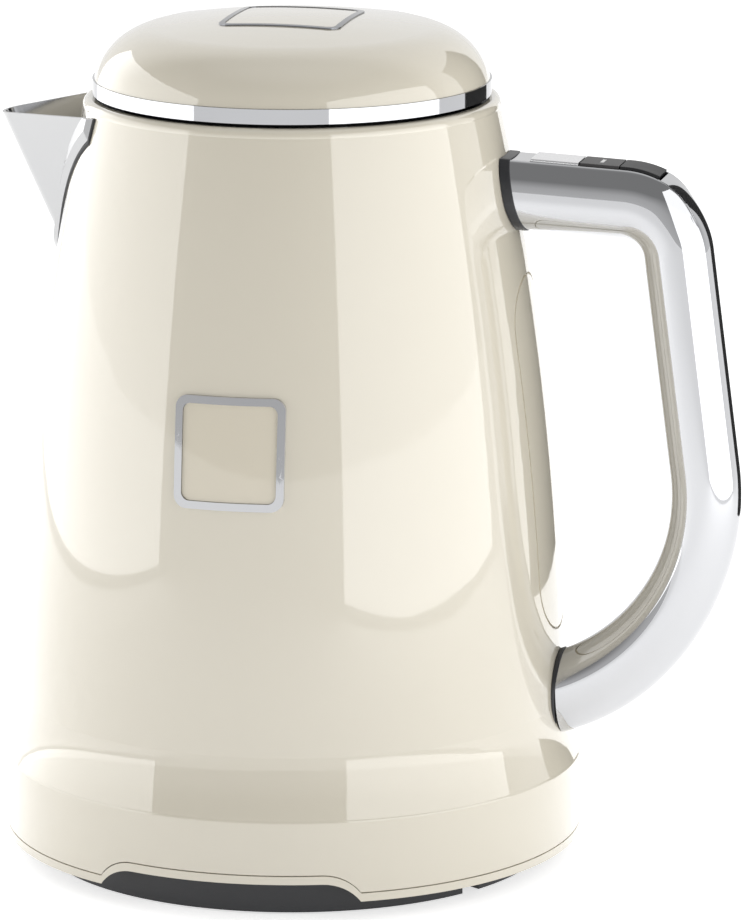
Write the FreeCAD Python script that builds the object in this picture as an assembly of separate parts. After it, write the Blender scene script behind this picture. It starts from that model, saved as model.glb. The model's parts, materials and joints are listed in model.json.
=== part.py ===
import FreeCAD, Part
import math
import os

# Electric kettle on a power base, in millimetres, +Z up.
# Origin: middle of the plane that the feet stand on. Handle is +X, spout is -X, badge faces -Y.

V = FreeCAD.Vector
ORIGIN = V(0, 0, 0)
OUT = V(1, 0, 0)
ACROSS = V(0, 1, 0)
UP = V(0, 0, 1)
FAR = 400.0           # runs a cutting solid past everything
OVER = 1.0            # runs a cutting solid past one face
SEAM_TURN = 50.0      # where the seam of turned solids lies, clear of every cut-out

# Fits
FIT = 0.05            # gap between pieces that touch on one body
PIN_FIT = 0.05        # running clearance of a pin in its bore
TURN_FIT = 0.08       # running clearance of the round connector
MOVE_GAP = 0.3        # gap between faces of bodies that move past each other

# Jug outline
SKIRT_R = 85.1
SKIRT_TOP_Z = 30.6
SKIRT_EDGE_H = 1.0    # rounding at the skirt's upper edge
SKIRT_EDGE_IN = 0.3
SKIRT_STEP = 4.5      # wall stands this far inside the skirt
COVE_H = 17.4
COVE_DIP = 0.75       # how far the cove is hollowed below its chord
SIDE_BULGE = 4.35     # crown of the side wall over its chord
RIM_Z = 225.3
SHOULDER_STEP = 2.8   # wall below the shoulder stands this far outside the lid ring
SHOULDER_H = 2.6
SHOULDER_BOW = 0.73
RIM_LIP = 0.5         # shell's edge reaches this far in under the lid ring
RIM_FLAT = 1.2
LIP_T = 1.45
LIP_LEAN = 0.4
SHELL_WALL = 1.2

# Foot of the jug
SEAM_Z = 9.15
SEAM_GAP = 0.35
TRIM_H = 2.75
TRIM_WALL = 2.9
ARCH_RISE = 5.6
ARCH_HALF = 38.4
ARCH_CREST_HALF = 28.1

# Lid
LID_R = 57.9
LID_GAP = 1.0         # dark gap between ring and shoulder
RING_H = 4.3
RING_WALL = 0.9
RING_LEDGE = 1.4
DOME_WALL = 1.6
DOME_CROWN_R = 270.0
DOME_CORNER_R = 20.15
DOME_CORNER_DROP = 5.1
DOME_EDGE_OUT = 0.2
MOUTH_INSET = 9.4     # mouth inside the lid ring's outside
PLUG_GAP = 2.5        # liner's plug inside the mouth
PLUG_WALL = 1.2
PLUG_DEPTH = 6.7
LINER_T = 1.2
LINER_RISE = 1.9      # liner's top above the ring's lower edge
SEAL_T = 3.0
SEAL_RISE = 1.7       # seal above the plug's bottom
LID_POST_OUT = 4.5    # screw posts outside the plug
LID_FRAME_SIZE = 36.0
LID_FRAME_CORNER_R = 3.4
LID_FRAME_BAND = 1.7
LID_FRAME_HOLE_R = 2.4
LID_FRAME_PROUD = 0.35
LID_INLAY_PROUD = 0.15

# Lid hinge and latch
PIN_R = 1.0
HINGE_INSET = 3.3     # hinge axis inside the ring's outside
HINGE_RISE = 2.7      # hinge axis above the ring's lower edge
LUG_WALL = 0.5
LUG_Y0 = 4.2
LUG_T = 3.0
LUG_POST_T = 2.4
LUG_SET = 0.5         # lug posts behind the mouth
LUG_ROOT = 1.0        # lug posts start this far up in the mouth ring
KNUCKLE_WALL = 0.6
KNUCKLE_HALF = 3.8
KNUCKLE_REACH = 18.1
NOTCH_SIDE = 1.5
TAIL_HALF = 1.6
TAIL_T = 1.5
TAIL_SET = 0.5
TAIL_L = 8.5
LATCH_SLOT_HALF = 3.2

# Mouth ring
MOUTH_RING_GAP = 1.2  # ring inside the shell
MOUTH_RING_RIM = 1.2  # left round the outside of the latch slot

# Inner vessel and heater
VESSEL_GAP = 8.0
VESSEL_WALL = 0.9
VESSEL_DROP = 5.7     # vessel's edge below the rim
VESSEL_FLOOR_Z = 35.0
NECK_OUT = 1.4        # vessel's neck outside the mouth
NECK_H = 27.6
FLARE_H = 24.0
FLARE_DIP = 1.46
HEATER_INSET = 4.1
HEATER_T = 1.55
SEAL_RING_T = 1.55
SEAL_RING_W = 6.0
CRADLE_GAP = 1.5
ELEMENT_R = 46.0
ELEMENT_TUBE_R = 3.4
ELEMENT_SWEEP = 290.0
PRONG_R = 1.7
PRONG_L = 8.0
PRONG_TURN = 4.0
SENSOR_Y = 35.5
SENSOR_R = 3.0
SENSOR_ROUND = 1.8
SENSOR_RISE = 4.0
SENSOR_DEPTH = 5.0
SENSOR_FLANGE_R = 4.5
SENSOR_FLANGE_T = 2.0
BLOCK_OUT = 8.0       # thermostat block outside the connector
BLOCK_SLOPE_H = 1.7

# Power base
BASE_INSET = 10.1     # base inside the skirt
BASE_FOOT = 0.8
BASE_TOP_Z = 13.0
BASE_WALL = 2.2
BASE_EDGE_R = 2.0
FOOT_R = 5.5
FOOT_H = 2.2
FOOT_INSET = 15.0
COVER_T = 1.8
BASE_SCREW_PLACE_R = 30.0
POST_R = 12.0
POST_TOP_Z = 23.0
POST_CHAMFER = 1.5
CONTACT_T = 0.8
CONTACT_STEP = 3.0
CONNECTOR_WALL = 9.0
CONNECTOR_TOP_Z = 25.2
OUTLET_ANGLE = -33.2
OUTLET_W = 6.5
OUTLET_H = 9.0
GLAND_R = 4.0
GLAND_BORE_R = 3.1
GLAND_L = 7.0

# Underside of the jug
BOTTOM_Z = 15.2
BOTTOM_T = 2.5
REST_RING_R = 42.0
REST_RING_W = 4.0
BOSS_R = 4.2
BOSS_SINK = 0.5       # bosses run this far into the shell's wall
BOSS_TURN = 30.0
SCREW_R = 1.5
SCREW_HEAD_R = 2.8
SCREW_HEAD_H = 1.6
SCREW_L = 9.0
HANDLE_SCREW_L = 11.0
HANDLE_SCREW_Y = 5.6
SCREW_SEAT = 1.5      # handle screw heads stand this far inside the curved wall

# Handle
TUBE_R = 10.3
TUBE_WALL = 1.7
ARM_DROP = 27.3       # axis of the upper arm below the rim, where it is marked
ARM_REACH = 23.14     # the marked point of the arm outside the wall
ARM_FALL_DEG = 2.7
BEND_R = 16.0
GRIP_LEAN_DEG = 7.5
LOWER_ARC_R = 62.6
LOWER_ARC_IN = 20.1   # centre of the lower arc inside the wall's foot
LOWER_ARC_Z = 112.0
LOWER_TURN = 105.0    # the lower arc runs on into the wall and is cut there
UPPER_COLLAR_T = 3.4
LOWER_COLLAR_T = 2.8
COLLAR_PROUD = 0.4
FLAT_RISE = 0.4       # flat of the strip above the round of the tube
FLAT_HALF = 7.25
CAP_SIDE_IN = 0.9
CAP_SIDE_DROP = 4.1
CAP_FOOT_V = 1.8
CAP_ROOT = 2.0
CAP_END_DEG = 31.3
LOWER_INSERT_L = 16.0
INSERT_TAIL = 4.0     # upper insert runs this far past the lever's pivot

# Controls in the strip
RELEASE_START = 5.74  # first button from the wall
RELEASE_L = 13.9
POWER_L = 11.4
TEMPERATURE_DEG = 21.3
BUTTON_SPLIT = 0.4
BUTTON_W = 12.0
BUTTON_PROUD = 0.8
BUTTON_T = 2.5
BUTTON_EDGE_R = 0.5
BUTTON_GAP = 0.25
BUTTON_END_GAP = 0.8
RELEASE_TRAVEL = 1.2
PRESS_TRAVEL = 0.8
STEM = 3.0
CARRIER_T = 1.6
CARRIER_GAP = 0.2     # left under a pressed button
BOARD_T = 1.4
BOARD_HALF = 5.8
LEG_T = 1.6
SWITCH_H = 2.0
SWITCH_W = 4.5
PRESS_REST = 0.1

# Release lever
LEVER_REACH = 15.65   # pivot from the middle of the release button
LEVER_DROP = 1.6      # pivot below the tube axis
LEVER_T = 2.6
LEVER_HALF = 1.5
LEVER_POST_T = 1.4
LEVER_SIDE_GAP = 1.0
LEVER_ROOM_UP = 5.0
LEVER_ROOM_IN = 6.0
PIVOT_HALF = 6.0

# Spout and filter
SPOUT_TOP_DROP = 8.6  # point of the V below the rim, before its nose is rounded
SPOUT_REACH = 30.3    # point of the V outside the wall
SPOUT_FOOT_DEG = 29.9 # where the V meets the wall, round the jug from its middle
SPOUT_RISE_DEG = 7.2  # the upper edges climb towards the wall
SPOUT_H = 36.5
CREASE_OUT = 13.3     # the crease at its marked low point, outside the wall at the tip's height
SPOUT_RUN = 1.6       # the V runs on down along its crease, in heights
SPOUT_WALL = 1.0
NOSE_R = 8.8
FLANGE_W = 4.2
FLANGE_T = 1.6
FLANGE_END = 4.6      # flange's upper corners outside the foot of the V
GASKET_T = 0.5
GASKET_W = 0.7
DUCT_TOP_DROP = 5.7
DUCT_HALF = 10.0
DUCT_H = 21.0
DUCT_SIDE_H = 4.0
DUCT_WALL = 1.2
DUCT_TIP_HALF = 2.5
FILTER_IN = 4.0       # filter frame reaches this far inside the neck
MESH_OUT = 4.0
MESH_T = 0.6
MESH_HOLE = 1.8
MESH_PITCH = 2.8

# Trim on the wall
BADGE_Z = 135.1
BADGE_SIZE = 32.0
BADGE_CORNER_R = 3.7
BADGE_BAND = 2.2
BADGE_HOLE_R = 2.4
BADGE_PROUD = 1.1
PLATE_PROUD = 0.45
PANEL_Z0 = 71.0
PANEL_TOP_DROP = 23.0 # panel's upper end below the arm's axis
PANEL_HALF = 16.0
PANEL_GROOVE = 0.7
PANEL_T = 1.0
PANEL_LIP = 3.0

# Values worked out from the sizes above
FOOT_WALL_R = SKIRT_R - SKIRT_STEP
COVE_TOP_Z = SKIRT_TOP_Z + COVE_H
SHOULDER_R = LID_R + SHOULDER_STEP
SHOULDER_Z = RIM_Z - SHOULDER_H
RIM_IN_R = LID_R - RIM_LIP
RING_Z0 = RIM_Z + LID_GAP
RING_Z1 = RING_Z0 + RING_H
RING_IN_R = LID_R - RING_WALL
MOUTH_R = LID_R - MOUTH_INSET
PLUG_R = MOUTH_R - PLUG_GAP
LINER_Z1 = RING_Z0 + LINER_RISE
LINER_Z0 = LINER_Z1 - LINER_T
PLUG_Z0 = LINER_Z0 - PLUG_DEPTH
HINGE_X = LID_R - HINGE_INSET
HINGE_Z = RING_Z0 + HINGE_RISE
LUG_R = PIN_R + LUG_WALL
KNUCKLE_R = PIN_R + KNUCKLE_WALL
TAIL_X0 = HINGE_X - TAIL_SET
TAIL_Z0 = HINGE_Z - TAIL_L
NECK_R = MOUTH_R + NECK_OUT
VESSEL_TOP_Z = RIM_Z - VESSEL_DROP
HEATER_R = FOOT_WALL_R - VESSEL_GAP - HEATER_INSET
TRIM_Z0 = SEAM_Z - TRIM_H
BOSS_PLACE_R = SKIRT_R - SHELL_WALL - BOSS_R + BOSS_SINK
BASE_R = SKIRT_R - BASE_INSET
CONNECTOR_R = POST_R + CONNECTOR_WALL
SOCKET_R = POST_R + TURN_FIT
ARM_Z = RIM_Z - ARM_DROP
PANEL_Z1 = ARM_Z - PANEL_TOP_DROP
PANEL_MID_Z = (PANEL_Z0 + PANEL_Z1) / 2
BORE_R = TUBE_R - TUBE_WALL
FLAT_V = TUBE_R + FLAT_RISE
SPOUT_TOP_Z = RIM_Z - SPOUT_TOP_DROP
DUCT_TOP_Z = SPOUT_TOP_Z - DUCT_TOP_DROP
ROUND_WAY = 1 - math.sqrt(0.5)


def save(name, shape):
    shape.exportStep("parts/" + name + ".step")


def path(start, *moves):
    """Edges in the XZ plane: a move is an end point, or a point on the way and an end point of an arc."""
    edges = []
    here = V(start[0], 0, start[1])
    for move in moves:
        if isinstance(move[0], tuple):
            way = V(move[0][0], 0, move[0][1])
            end = V(move[1][0], 0, move[1][1])
            edges.append(Part.Arc(here, way, end).toShape())
        else:
            end = V(move[0], 0, move[1])
            edges.append(Part.makeLine(here, end))
        here = end
    return edges


def face_of(edges):
    return Part.Face(Part.Wire(edges))


def turned(start, *moves):
    """Solid of revolution about Z from a closed half outline of (radius, height) points."""
    solid = face_of(path(start, *moves, start)).revolve(ORIGIN, UP, 360)
    solid.rotate(ORIGIN, UP, SEAM_TURN)
    return solid


def ring(r0, r1, z0, z1):
    return turned((r0, z0), (r1, z0), (r1, z1), (r0, z1))


def disc(r, z0, z1, x=0.0, y=0.0):
    return Part.makeCylinder(r, z1 - z0, V(x, y, z0), UP)


def box(x0, x1, y0, y1, z0, z1):
    return Part.makeBox(x1 - x0, y1 - y0, z1 - z0, V(x0, y0, z0))


def slab(edges, half):
    """Closed outline in the XZ plane, made solid across Y from -half to +half."""
    solid = face_of(edges).extrude(ACROSS * (2 * half))
    solid.translate(ACROSS * -half)
    return solid


def cross_pin(x, z, r, half):
    return Part.makeCylinder(r, 2 * half, V(x, -half, z), ACROSS)


def joined(shapes):
    return shapes[0].fuse(shapes[1:]).removeSplitter()


def polar(r, degrees):
    return r * math.cos(math.radians(degrees)), r * math.sin(math.radians(degrees))


def bowed(a, b, bow):
    """Middle point of an arc from a to b that stands bow to the outer side of its chord."""
    dx, dz = b[0] - a[0], b[1] - a[1]
    length = math.hypot(dx, dz)
    return (a[0] + b[0]) / 2 + bow * dz / length, (a[1] + b[1]) / 2 - bow * dx / length


def screw(x, y, z, length):
    """Round-head screw pointing up, its head from z."""
    head = disc(SCREW_HEAD_R, z, z + SCREW_HEAD_H, x, y)
    return head.fuse(disc(SCREW_R, z + SCREW_HEAD_H, z + length, x, y)).removeSplitter()


def rounded_square(size, corner):
    """Face of a rounded square about the origin, in the XY plane."""
    h = size / 2
    k = h - corner
    d = corner * math.sqrt(0.5)
    edges = []
    for quarter in range(4):
        turn = FreeCAD.Rotation(UP, 90 * quarter)
        start = turn.multVec(V(h, -k, 0))
        side = turn.multVec(V(h, k, 0))
        way = turn.multVec(V(k + d, k + d, 0))
        end = turn.multVec(V(k, h, 0))
        edges.append(Part.makeLine(start, side))
        edges.append(Part.Arc(side, way, end).toShape())
    return face_of(edges)


# Outer wall of the jug

def side_centre():
    """Centre and radius of the arc of the side wall."""
    a = (FOOT_WALL_R, COVE_TOP_Z)
    b = (SHOULDER_R, SHOULDER_Z)
    half = math.hypot(b[0] - a[0], b[1] - a[1]) / 2
    radius = (half ** 2 + SIDE_BULGE ** 2) / (2 * SIDE_BULGE)
    x, z = bowed(a, b, SIDE_BULGE - radius)
    return x, z, radius


def wall_r(z):
    """Outside radius of the side wall at a height."""
    x, centre_z, radius = side_centre()
    return x + math.sqrt(radius ** 2 - (z - centre_z) ** 2)


def wall_moves(offset):
    """Outline of the jug above the skirt, moved out by an offset."""
    start = (SKIRT_R - SKIRT_EDGE_IN + offset, SKIRT_TOP_Z)
    foot = (FOOT_WALL_R + offset, COVE_TOP_Z)
    top = (SHOULDER_R + offset, SHOULDER_Z)
    cove = (bowed(start, foot, -COVE_DIP), foot)
    side = (bowed(foot, top, SIDE_BULGE), top)
    return start, cove, side


def jug_outside(offset):
    """Solid inside the jug's outer wall, from the skirt to the shoulder, moved out by an offset."""
    start, cove, side = wall_moves(offset)
    return turned((0, SKIRT_TOP_Z), start, cove, side, (0, SHOULDER_Z))


def arch_below(edge_z):
    """Everything below the lower edge of the skirt, which rises in an arch at front and back."""
    run = ARCH_HALF - ARCH_CREST_HALF
    radius = (run ** 2 + ARCH_RISE ** 2) / (2 * ARCH_RISE)
    top = edge_z + ARCH_RISE
    turn = math.asin(run / radius) / 2
    way_x = ARCH_CREST_HALF + radius * math.sin(turn)
    way_z = top - radius * (1 - math.cos(turn))
    edges = path((-FAR, edge_z), (-ARCH_HALF, edge_z), ((-way_x, way_z), (-ARCH_CREST_HALF, top)),
                 (ARCH_CREST_HALF, top), ((way_x, way_z), (ARCH_HALF, edge_z)), (FAR, edge_z),
                 (FAR, -FAR), (-FAR, -FAR), (-FAR, edge_z))
    return slab(edges, FAR)


# Places that follow from the wall

ARM_ROOT_X = wall_r(ARM_Z)
ARM_X = ARM_ROOT_X + ARM_REACH
RELEASE_X0 = ARM_ROOT_X + RELEASE_START
RELEASE_X1 = RELEASE_X0 + RELEASE_L
POWER_X0 = RELEASE_X1 + BUTTON_SPLIT
POWER_X1 = POWER_X0 + POWER_L
TEMPERATURE_X0 = POWER_X1 + BUTTON_SPLIT
LEVER_PIVOT_X = (RELEASE_X0 + RELEASE_X1) / 2 + LEVER_REACH
LOWER_ARC_X = FOOT_WALL_R - LOWER_ARC_IN
SPOUT_ROOT_R = wall_r(SPOUT_TOP_Z)
SPOUT_POINT_R = SPOUT_ROOT_R + SPOUT_REACH
SPOUT_FOOT_X, SPOUT_FOOT_Y = polar(SPOUT_ROOT_R, SPOUT_FOOT_DEG)
SPOUT_SPREAD = math.atan2(SPOUT_FOOT_Y, SPOUT_POINT_R - SPOUT_FOOT_X)


# Power base

def base_pieces():
    inner_r = BASE_R - BASE_WALL
    eye_r = POST_R - BASE_WALL
    ceiling = BASE_TOP_Z - BASE_WALL
    way = BASE_EDGE_R * ROUND_WAY
    edge = ((BASE_R - way, BASE_TOP_Z - way), (BASE_R - BASE_EDGE_R, BASE_TOP_Z))
    housing = turned((eye_r, BASE_TOP_Z), (eye_r, ceiling), (inner_r, ceiling), (inner_r, BASE_FOOT),
                     (BASE_R, BASE_FOOT), (BASE_R, BASE_TOP_Z - BASE_EDGE_R), edge)
    outlet = box(BASE_R - 2 * GLAND_L, FAR, -OUTLET_W / 2, OUTLET_W / 2, 0, BASE_FOOT + OUTLET_H)
    outlet.rotate(ORIGIN, UP, OUTLET_ANGLE)
    cover_z1 = BASE_FOOT + COVER_T
    cover = disc(inner_r - FIT, BASE_FOOT, cover_z1)
    feet, screws = [], []
    for quarter in range(4):
        x, y = polar(BASE_R - FOOT_INSET, 45 + 90 * quarter)
        feet.append(disc(FOOT_R, 0, FOOT_H, x, y))
        cover = cover.cut(disc(FOOT_R + FIT, 0, FOOT_H + FIT, x, y))
    for third in range(3):
        x, y = polar(BASE_SCREW_PLACE_R, 90 + 120 * third)
        screws.append(screw(x, y, BASE_FOOT, ceiling - FIT - BASE_FOOT))
        housing = housing.fuse(disc(BOSS_R, cover_z1 + FIT, BASE_TOP_Z - BASE_WALL / 2, x, y)).cut(screws[-1])
        cover = cover.cut(disc(SCREW_HEAD_R + FIT, 0, BASE_FOOT + SCREW_HEAD_H + FIT, x, y))
        cover = cover.cut(disc(SCREW_R + FIT, 0, cover_z1, x, y))
    save("base_housing", housing.cut(outlet).removeSplitter())
    save("base_cover", cover.cut(outlet))
    save("base_feet", Part.Compound(feet))
    save("base_screws", Part.Compound(screws))
    cord_gland(inner_r - FIT, cover_z1, ceiling)
    connector_pieces(eye_r - FIT, ceiling)


def cord_gland(r, floor_z, ceiling):
    """Bush behind the outlet notch, its back cut to the round of the housing."""
    start = V(r - GLAND_L, 0, floor_z + GLAND_R + FIT)
    gland = Part.makeCylinder(GLAND_R, GLAND_L, start, OUT)
    gland = gland.cut(Part.makeCylinder(GLAND_BORE_R, GLAND_L, start, OUT))
    gland = gland.common(disc(r, 0, ceiling - FIT))
    gland.rotate(ORIGIN, UP, OUTLET_ANGLE)
    save("cord_gland", gland)


def connector_pieces(shaft_r, ceiling):
    """Plug on the base, its contact rings, and the socket that drops over it."""
    foot_z = BASE_TOP_Z + FIT
    post = turned((0, ceiling), (shaft_r, ceiling), (shaft_r, foot_z), (POST_R, foot_z),
                  (POST_R, POST_TOP_Z - POST_CHAMFER), (POST_R - POST_CHAMFER, POST_TOP_Z), (0, POST_TOP_Z))
    rings = []
    for step in (1, 2):
        z0 = BASE_TOP_Z + step * CONTACT_STEP
        z1 = z0 + 2 * CONTACT_T
        groove_r = POST_R - 2 * CONTACT_T
        post = post.cut(ring(groove_r, POST_R + OVER, z0, z1))
        rings.append(ring(groove_r + FIT, POST_R - FIT, z0 + FIT, z1 - FIT))
    roof = POST_TOP_Z + MOVE_GAP
    floor = BASE_TOP_Z + MOVE_GAP
    socket = turned((0, CONNECTOR_TOP_Z), (0, roof), (SOCKET_R, roof), (SOCKET_R, floor), (CONNECTOR_R, floor),
                    (CONNECTOR_R, CONNECTOR_TOP_Z))
    save("connector_post", post)
    save("contact_rings", Part.Compound(rings))
    save("kettle_connector", socket)


# Jug

def bottom_screw_places():
    return [polar(BOSS_PLACE_R, BOSS_TURN + 120 * third) for third in range(3)]


def body_shell(cuts):
    start, cove, side = wall_moves(0)
    way = SKIRT_EDGE_H * ROUND_WAY
    rim_r = RIM_IN_R + RIM_FLAT
    shoulder = (bowed(side[1], (rim_r, RIM_Z), SHOULDER_BOW), (rim_r, RIM_Z))
    skirt_round = ((SKIRT_R - SKIRT_EDGE_IN * ROUND_WAY, SKIRT_TOP_Z - way), start)
    outer = turned((0, 0), (SKIRT_R, 0), (SKIRT_R, SKIRT_TOP_Z - SKIRT_EDGE_H), skirt_round, cove, side,
                   shoulder, (0, RIM_Z))
    start, cove, side = wall_moves(-SHELL_WALL)
    skirt_in = SKIRT_R - SHELL_WALL
    lip_z = RIM_Z - LIP_T
    inner = turned((0, -OVER), (skirt_in, -OVER), (skirt_in, SKIRT_TOP_Z - SHELL_WALL), start, cove, side,
                   (side[1][0] - LIP_LEAN, lip_z), (0, lip_z))
    shell = outer.cut(inner)
    for x, y in bottom_screw_places():
        boss = disc(BOSS_R, BOTTOM_Z + BOTTOM_T + FIT, SKIRT_TOP_Z - SHELL_WALL, x, y)
        shell = shell.fuse(boss).cut(screw(x, y, BOTTOM_Z, SCREW_L))
    shell = shell.cut(disc(RIM_IN_R, lip_z - OVER, RIM_Z + OVER))
    shell = shell.cut(arch_below(SEAM_Z))
    for cut in cuts:
        shell = shell.cut(cut)
    return shell


def underside():
    upstand_r = SKIRT_R - SHELL_WALL - MOVE_GAP
    inner_r = SKIRT_R - TRIM_WALL
    band = ring(inner_r, SKIRT_R, 0, BOTTOM_Z).common(arch_below(SEAM_Z - SEAM_GAP))
    upstand = ring(inner_r, upstand_r, 0, BOTTOM_Z - FIT)
    trim = band.fuse(upstand).cut(arch_below(TRIM_Z0)).removeSplitter()
    cover = ring(CONNECTOR_R + TURN_FIT, upstand_r, BOTTOM_Z, BOTTOM_Z + BOTTOM_T)
    rest = ring(REST_RING_R, REST_RING_R + REST_RING_W, BASE_TOP_Z + MOVE_GAP, BOTTOM_Z)
    cradle = ring(HEATER_R + CRADLE_GAP, FOOT_WALL_R - VESSEL_GAP, BOTTOM_Z + BOTTOM_T, VESSEL_FLOOR_Z - FIT)
    cover = joined([cover, rest, cradle])
    screws = []
    for x, y in bottom_screw_places():
        screws.append(screw(x, y, BOTTOM_Z, SCREW_L))
        cover = cover.cut(disc(SCREW_HEAD_R + FIT, 0, BOTTOM_Z + SCREW_HEAD_H + FIT, x, y))
        cover = cover.cut(disc(SCREW_R + FIT, 0, VESSEL_FLOOR_Z, x, y))
    save("base_trim_ring", trim)
    save("bottom_cover", cover)
    save("bottom_screws", Part.Compound(screws))


def neck_seam_z():
    """Height of the seam between the inner vessel and the flared neck on it."""
    return VESSEL_TOP_Z - NECK_H - FLARE_H


def vessel_solid(offset):
    """Solid of the inner vessel with its neck, moved in by an offset."""
    neck_z = VESSEL_TOP_Z - NECK_H
    flare_z = neck_seam_z()
    middle_z = (flare_z + COVE_TOP_Z) / 2
    floor = (FOOT_WALL_R - VESSEL_GAP - offset, VESSEL_FLOOR_Z + offset)
    foot = (floor[0], COVE_TOP_Z)
    flare = (wall_r(flare_z) - VESSEL_GAP - offset, flare_z)
    neck = (NECK_R - offset, neck_z)
    top = VESSEL_TOP_Z + offset
    side = ((wall_r(middle_z) - VESSEL_GAP - offset, middle_z), flare)
    return turned((0, floor[1]), floor, foot, side, (bowed(flare, neck, -FLARE_DIP), neck), (neck[0], top), (0, top))


def heater_pieces(duct):
    """Inner vessel, its neck, its heated floor, and what hangs under the floor."""
    seal_z1 = VESSEL_FLOOR_Z - FIT
    seal_z0 = seal_z1 - SEAL_RING_T
    plate_z1 = seal_z0 - FIT
    plate_z0 = plate_z1 - HEATER_T
    seal_in = HEATER_R - SEAL_RING_W
    vessel = vessel_solid(0).cut(vessel_solid(VESSEL_WALL)).cut(disc(seal_in, 0, COVE_TOP_Z))
    plate = disc(HEATER_R, plate_z0, plate_z1).cut(disc(SENSOR_R + FIT, 0, FAR, 0, SENSOR_Y))
    probe = disc(SENSOR_R, plate_z0 - SENSOR_DEPTH, plate_z1 + SENSOR_RISE, 0, SENSOR_Y)
    tip = [edge for edge in probe.Edges if edge.BoundBox.ZMin > plate_z1]
    flange_z1 = plate_z0 - FIT
    flange = disc(SENSOR_FLANGE_R, flange_z1 - SENSOR_FLANGE_T, flange_z1, 0, SENSOR_Y)
    tube_z = plate_z0 - FIT - ELEMENT_TUBE_R
    section = face_of([Part.makeCircle(ELEMENT_TUBE_R, V(ELEMENT_R, 0, tube_z), ACROSS)])
    coil = section.revolve(ORIGIN, UP, ELEMENT_SWEEP)
    gap_half = (360 - ELEMENT_SWEEP) / 2
    coil.rotate(ORIGIN, UP, gap_half)
    for side in (-1, 1):
        x, y = polar(ELEMENT_R, side * (gap_half + PRONG_TURN))
        coil = coil.fuse(disc(PRONG_R, tube_z - PRONG_L, tube_z, x, y))
    block_z0 = CONNECTOR_TOP_Z + MOVE_GAP
    block_r = CONNECTOR_R + BLOCK_OUT
    block = turned((0, block_z0), (CONNECTOR_R, block_z0), (block_r, block_z0 + BLOCK_SLOPE_H),
                   (block_r, plate_z0 - FIT), (0, plate_z0 - FIT))
    below_seam = disc(SKIRT_R, 0, neck_seam_z())
    save("inner_vessel", vessel.common(below_seam))
    save("inner_neck", vessel.cut(duct).cut(below_seam))
    save("element_seal", ring(seal_in, HEATER_R, seal_z0, seal_z1))
    save("heater_plate", plate)
    save("temperature_sensor", probe.makeFillet(SENSOR_ROUND, tip).fuse(flange).removeSplitter())
    save("heating_element", coil.removeSplitter())
    save("thermostat", block)


def mouth_ring():
    """Black ring round the mouth with the two lugs of the lid hinge and the slot for the latch."""
    top_z = RIM_Z - LIP_T - FIT
    low_z = VESSEL_TOP_Z + FIT
    outer_r = SHOULDER_R - SHELL_WALL - MOUTH_RING_GAP
    body = ring(MOUTH_R, outer_r, low_z, top_z)
    post_x0 = MOUTH_R + LUG_SET
    post_x1 = post_x0 + LUG_POST_T
    post_z0 = low_z + LUG_ROOT
    bar_z0, bar_z1 = HINGE_Z - LUG_R, HINGE_Z + LUG_R
    outline = path((post_x0, post_z0), (post_x1, post_z0), (post_x1, bar_z0), (HINGE_X, bar_z0),
                   ((HINGE_X + LUG_R, HINGE_Z), (HINGE_X, bar_z1)), (post_x0, bar_z1), (post_x0, post_z0))
    for side in (-1, 1):
        lug = slab(outline, LUG_T / 2)
        lug.translate(ACROSS * (side * (LUG_Y0 + LUG_T / 2)))
        body = body.fuse(lug)
    slot = box(0, outer_r - MOUTH_RING_RIM, -LATCH_SLOT_HALF, LATCH_SLOT_HALF, low_z - OVER, top_z + OVER)
    body = body.cut(slot).cut(cross_pin(HINGE_X, HINGE_Z, PIN_R + FIT / 2, FAR))
    save("mouth_ring", body.removeSplitter())
    save("hinge_pin", cross_pin(HINGE_X, HINGE_Z, PIN_R, LUG_Y0 + LUG_T))


# Spout and filter

def spout_wedge(push):
    """Tall V with a rounded nose that runs down along the crease, pushed out along X."""
    sine, cosine = math.sin(SPOUT_SPREAD), math.cos(SPOUT_SPREAD)
    nose = NOSE_R + push * sine
    point = SPOUT_POINT_R + push
    centre = point - nose / sine
    touch_x, touch_y = centre + nose * sine, nose * cosine
    end_x, end_y = point * sine ** 2, point * sine * cosine
    corners = [V(-touch_x, touch_y, SPOUT_TOP_Z), V(-end_x, end_y, SPOUT_TOP_Z), V(-end_x, -end_y, SPOUT_TOP_Z),
               V(-touch_x, -touch_y, SPOUT_TOP_Z)]
    edges = [Part.makeLine(a, b) for a, b in zip(corners, corners[1:])]
    edges.append(Part.Arc(corners[3], V(-centre - nose, 0, SPOUT_TOP_Z), corners[0]).toShape())
    crease = V(SPOUT_REACH - CREASE_OUT, 0, -SPOUT_H)
    solid = face_of(edges).extrude(crease * (SPOUT_RUN + 1))
    solid.translate(-crease)
    return solid


def below_spout_top():
    """Everything under the plane of the spout's upper edges."""
    slope = math.tan(math.radians(SPOUT_RISE_DEG))
    left_z = SPOUT_TOP_Z + (SPOUT_POINT_R - FAR) * slope
    right_z = SPOUT_TOP_Z + SPOUT_POINT_R * slope
    return slab(path((-FAR, left_z), (0, right_z), (0, -FAR), (-FAR, -FAR), (-FAR, left_z)), FAR)


def duct_outline(grow):
    """Blunt triangle of the pouring opening, in the YZ plane."""
    top = DUCT_TOP_Z + grow
    low = DUCT_TOP_Z - DUCT_H - grow
    side = top - DUCT_SIDE_H
    half = DUCT_HALF + grow
    tip = DUCT_TIP_HALF + grow
    points = [V(0, -half, top), V(0, half, top), V(0, half, side), V(0, tip, low), V(0, -tip, low),
              V(0, -half, side), V(0, -half, top)]
    return Part.Face(Part.makePolygon(points))


def duct_bar(grow):
    return duct_outline(grow).extrude(V(-FAR, 0, 0))


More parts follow.
